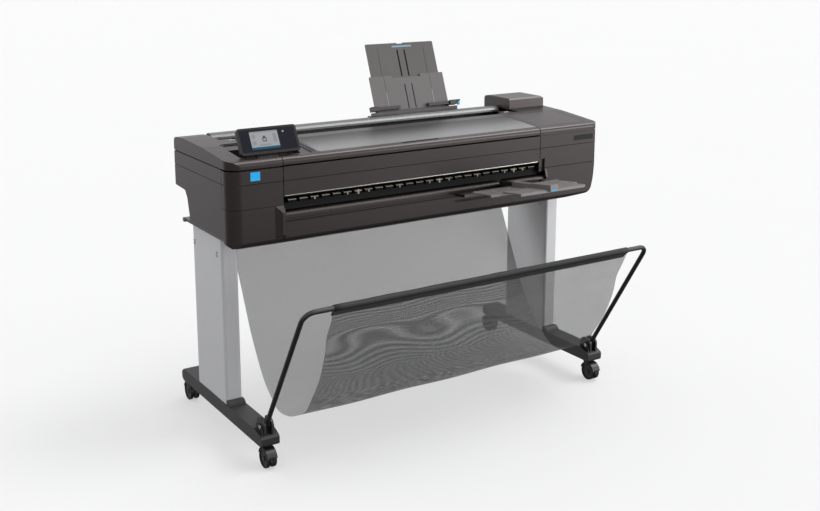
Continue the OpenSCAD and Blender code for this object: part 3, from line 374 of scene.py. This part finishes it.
# Nodes that look a little unlike the rest of their slot.
LOOKS = {"output_middle": "output_grey", "output_end": "output_grey", "tray_extension": "extension_grey",
         "platen": "deep_black", "left_guide": "guide_brown", "right_guide": "guide_brown"}


def dress_nodes():
    """Every CAD node gets the material of its slot in the record."""
    for part in frame["record"]["subparts"]:
        data = nodes[part["node"]].data
        data.materials.clear()
        data.materials.append(MATERIALS[LOOKS.get(part["node"], part["material_slot"])])


# ---------------------------------------------------------------- small mesh helpers

def piece(name, mesh, body, materials):
    """A new object that rides on a body."""
    obj = bpy.data.objects.new(name, mesh)
    scene.collection.objects.link(obj)
    for material in materials:
        mesh.materials.append(material)
    if body:
        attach(obj, body)
    return obj


def chamfered(bm, low, high, width, matrix):
    """A box between two corners with bevelled edges, added to bm and then moved by the matrix."""
    size = high - low
    made = bmesh.ops.create_cube(bm, size=1.0)["verts"]
    place = Matrix.Translation((low + high) / 2) @ Matrix.Diagonal((*size, 1.0))
    bmesh.ops.transform(bm, matrix=place, verts=made)
    edges = list({e for v in made for e in v.link_edges})
    done = bmesh.ops.bevel(bm, geom=made + edges, offset=width, segments=2, affect="EDGES", profile=0.5)
    faces = set(done["faces"]) | {f for v in done["verts"] for f in v.link_faces}
    bmesh.ops.transform(bm, matrix=matrix, verts=list({v for f in faces for v in f.verts}))


def finished(bm, name):
    mesh = bpy.data.meshes.new(name)
    bmesh.ops.recalc_face_normals(bm, faces=bm.faces)
    bm.to_mesh(mesh)
    bm.free()
    return mesh


# ---------------------------------------------------------------- catch cloth

CLOTH_HALF = 547.0    # half the width of the cloth
CLOTH_LINE = [
    (389, 660), (366, 606), (341, 557), (318, 508), (263, 397), (222, 313), (171, 233), (131, 182), (92, 150),
    (36, 115), (-33, 120), (-95, 146), (-156, 185), (-195, 238), (-241, 309), (-275, 392), (-290, 455),
    (-313, 500), (-336, 548),
]


def smooth_line(points, steps):
    """Points on a smooth curve through the given ones."""
    out = []
    for i in range(len(points) - 1):
        p = [Vector(points[min(max(k, 0), len(points) - 1)]) for k in (i - 1, i, i + 1, i + 2)]
        for s in range(steps):
            t = s / steps
            out.append(0.5 * (2 * p[1] + t * (p[2] - p[0]) + t * t * (2 * p[0] - 5 * p[1] + 4 * p[2] - p[3])
                              + t ** 3 * (3 * p[1] - 3 * p[2] + p[3] - p[0])))
    return out + [Vector(points[-1])]


def build_cloth():
    line = smooth_line(CLOTH_LINE, 5)
    length = [0.0]
    for a, b in zip(line, line[1:]):
        length.append(length[-1] + (b - a).length)
    columns = 60
    bm = bmesh.new()
    uv = bm.loops.layers.uv.new("weave")
    rows = []
    for j, p in enumerate(line):
        free = math.sin(math.pi * min(1.0, length[j] / length[-1]))
        row = []
        for i in range(columns + 1):
            x = -CLOTH_HALF + 2 * CLOTH_HALF * i / columns
            wave = 1.6 * math.sin(x / 61 + 2.1 * math.sin(length[j] / 170))
            wave += 1.1 * math.sin(length[j] / 43 + x / 210)
            row.append(bm.verts.new(at(x, p.x, p.y + free * wave)))
        rows.append(row)
    bm.verts.index_update()
    place = {v: ((-CLOTH_HALF + 2 * CLOTH_HALF * i / columns) * MM, length[j] * MM)
             for j, row in enumerate(rows) for i, v in enumerate(row)}
    for a, b in zip(rows, rows[1:]):
        for i in range(columns):
            face = bm.faces.new((a[i], a[i + 1], b[i + 1], b[i]))
            face.smooth = True
            # Faces in front of the body take the painted-shade copy of the weave, the rest the painted-light
            # copy.
            face.material_index = 0 if a[i].co.y < FRONT + 0.02 else 1
            for loop in face.loops:
                loop[uv].uv = place[loop.vert]
    mesh = finished(bm, "catch_cloth")
    cloth = piece("catch_cloth", mesh, None, [MATERIALS["front_mesh"], MATERIALS["rear_mesh"]])
    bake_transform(cloth)
    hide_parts("front_fabric", "rear_fabric")


# ---------------------------------------------------------------- small details

def tilted(x, y, z, degrees, mirrored=False):
    """The frame of a leaning part whose own origin is at (x, y, z), in millimetres."""
    turn = Matrix.Rotation(math.radians(degrees), 4, "X")
    if mirrored:
        turn = turn @ Matrix.Scale(-1.0, 4, (0, 1, 0))
    return Matrix.Translation(at(x, y, z)) @ turn


SCREEN = tilted(0, 58, 924, 62)
TRAY = tilted(200, 419, 950, 69)
OUTPUT = tilted(0, 0, 744, -6.6, mirrored=True)
BODY = tilted(0, 0, 0, 0)


def blocks(name, body, look, frame_matrix, ranges, edge=0.3):
    """Small bevelled blocks, each given by its (x, y, z) ranges in millimetres in one local frame."""
    bm = bmesh.new()
    for x, y, z in ranges:
        low, high = (Vector((x[i], y[i], z[i])) * MM for i in (0, 1))
        width = min(edge * MM, 0.3 * min(high - low))
        chamfered(bm, low, high, width, frame_matrix)
    return piece(name, finished(bm, name), body, [MATERIALS[look]])


def build_screen_picture():
    """A generic page on the touchscreen: a pale field with a blue bar and plain shapes."""
    z = (17.25, 17.45)
    top = (17.45, 17.6)
    blocks("screen_field", "touchscreen", "lit_panel", SCREEN, [((-601, -510), (18, 67), z)], 0.05)
    blocks("screen_bar", "touchscreen", "lit_blue", SCREEN, [((-601, -510), (11, 18), z)], 0.05)
    blocks("screen_tiles", "touchscreen", "lit_grey", SCREEN, [
        ((-596, -584), (46, 58), top), ((-596, -584), (26, 38), top), ((-527, -516), (30, 58), top),
        ((-574, -538), (22, 26), top), ((-601, -510), (63, 66.9), top),
    ], 0.05)
    blocks("screen_sign", "touchscreen", "lit_dark", SCREEN, [
        ((-563, -549), (34, 46), top), ((-560, -552), (46, 52), top),
    ], 0.05)
    blocks("screen_sign_paper", "touchscreen", "lit_panel", SCREEN, [
        ((-560.5, -551.5), (37, 43), (17.6, 17.7)),
    ], 0.03)
    blocks("screen_key", "touchscreen", "pale_blue", SCREEN, [((-494, -489), (58, 63), z)], 0.05)


def build_labels():
    """Blank labels where the object carries printed ones."""
    blocks("ink_door_label", "ink_door", "blue_label", BODY, [((-633, -602), (-0.35, 0.1), (860, 886))], 0.1)
    blocks("name_plate", ROOT, "dark_label", BODY, [((595, 682), (-0.5, 0.1), (862.5, 881))], 0.2)
    blocks("feeder_label", "tray_extension", "pale_blue", TRAY, [((-34, 48), (236, 242), (-6.7, -6.35))], 0.1)
    blocks("guide_lever", "right_guide", "blue_label", TRAY, [((185.6, 194.4), (1.6, 13), (8.6, 17.4))], 0.6)
    blocks("output_tab_mark", "output_end", "blue_label", OUTPUT, [
        ((283, 304), (261.8, 262.4), (-5, -1)),
    ], 0.1)


def build_feeder_lines():
    """Dark floors of the guide slots in the panel and the extension, and two pale rails on the panel."""
    blocks("panel_slots", ROOT, "deep_black", TRAY, [
        ((x, x + 4), (8, 98), (-1.5, -1.1)) for x in (-17, 13)
    ], 0.05)
    blocks("panel_rails", ROOT, "light_plastic", TRAY, [
        ((x, x + 1.6), (8, 72), (-0.9, -0.1)) for x in (-98, 96)
    ], 0.05)
    blocks("extension_slots", "tray_extension", "deep_black", TRAY, [
        ((x, x + 6), (128, 226), (-8.7, -8.2)) for x in (-18, 12)
    ], 0.05)


def build_platen_marks():
    """Pale sheet supports on the ribs of the platen, some with a stem, every eighth one taller."""
    ranges = []
    for i in range(25):
        x = -502.5 + 38.1 * i
        ranges.append(((x, x + 27), (20.4, 29), (785.3, 786.1)))
        ranges.append(((x, x + 27), (20.4, 21.1), (783.9, 786.1)))
        if i % 8 in (2, 5, 7):
            ranges.append(((x + 12, x + 15.5), (20.4, 21.1), (776.5, 783.9)))
        if i % 8 == 6:
            ranges.append(((x + 11, x + 16.5), (20.2, 21.1), (774.5, 788.5)))
            ranges.append(((x + 4, x + 23), (20.3, 21.1), (782.4, 784.2)))
    blocks("platen_marks", ROOT, "tan", BODY, ranges, 0.15)


def build_latches():
    """Blocks that end the feed slot on both sides."""
    blocks("slot_ends", ROOT, "umber_shell", BODY, [
        ((-608, -560), (247, 300), (924, 935)), ((490, 536), (247, 300), (924, 935)),
    ], 1.5)
    blocks("slot_catches", ROOT, "light_plastic", BODY, [
        ((-585, -560.5), (262, 270), (934.5, 938)), ((492, 512), (262, 270), (934.5, 938)),
    ], 0.8)


def build_seam_shadows():
    """Painted shade: near-black strips laid in the seam lines of the shells and in the finger recess of the
    cover, where these gaps lie in shade.
    """
    line, inner, side = (848.6, 850.4), (0.25, 1.75), (-701.25, -699.75)
    # Painted shadow lines in the seam gaps, and under the edge of the top cover on the left side.
    blocks("shell_seam_shadows", ROOT, "deep_black", BODY, [
        ((-525, 444), inner, line), ((448, 685), inner, line), ((448, 685), inner, (779.1, 780.9)),
        (side, (54, 418), line), ((-700.7, -698.2), (58, 418), (892.4, 895.6)),
    ], 0.1)
    blocks("ink_door_seam_shadows", "ink_door", "deep_black", BODY, [
        ((-661, -529), inner, line), (side, (41, 50), line),
    ], 0.1)
    # Painted shade in the finger recess.
    blocks("recess_shade", "top_cover", "deep_black", BODY, [
        ((-99.5, 36.5), (20.5, 22.9), (914.2, 919.3)),
    ], 0.1)


def build_hem():
    """Webbing sleeve that wraps the cross tube of the bail, with its stitched flap."""
    frame_matrix = tilted(0, -73, 130, 31.5)
    bm = bmesh.new()
    half, columns = 545.0, 44
    angles = [math.radians(d) for d in range(-58, 239, 18)]
    profile = [(9.9 * math.cos(a), 497 + 9.9 * math.sin(a)) for a in angles]
    outline = [(1.6, 466)] + profile + [(-1.6, 466)]
    rings = []
    for i in range(columns + 1):
        x = -half + 2 * half * i / columns
        swell = 1.0 + 0.02 * math.sin(x / 37.0)
        rings.append([bm.verts.new(frame_matrix @ (Vector((x, y * swell, z)) * MM)) for y, z in outline])
    for a, b in zip(rings, rings[1:]):
        for j in range(len(outline)):
            k = (j + 1) % len(outline)
            face = bm.faces.new((a[j], b[j], b[k], a[k]))
            face.smooth = True
    bm.faces.new(rings[0])
    bm.faces.new(list(reversed(rings[-1])))
    piece("bail_hem", finished(bm, "bail_hem"), "bail", [MATERIALS["webbing"]])


# ---------------------------------------------------------------- floor

def add_floor():
    mesh = bpy.data.meshes.new("floor")
    half = 40.0
    corners = [(-half, -half, 0), (half, -half, 0), (half, half, 0), (-half, half, 0)]
    mesh.from_pydata(corners, [], [(0, 1, 2, 3)])
    floor = bpy.data.objects.new("floor", mesh)
    scene.collection.objects.link(floor)
    m = Nodes("floor")
    m.feed("Base Color", m.tint(m.noise(0.6), (0.295, 0.295, 0.295), (0.305, 0.305, 0.305)))
    m.set(Roughness=0.9, Specular_IOR_Level=0.1, Emission_Color=(1.0, 1.0, 1.0, 1.0), Emission_Strength=0.49)
    mesh.materials.append(m.material)
    floor.location.z = -0.0005
    floor.visible_glossy = floor.visible_diffuse = False


add_camera()
add_world()
add_suns()
add_floor()
dress_nodes()
build_cloth()
build_hem()
build_screen_picture()
build_labels()
build_feeder_lines()
build_platen_marks()
build_latches()
build_seam_shadows()
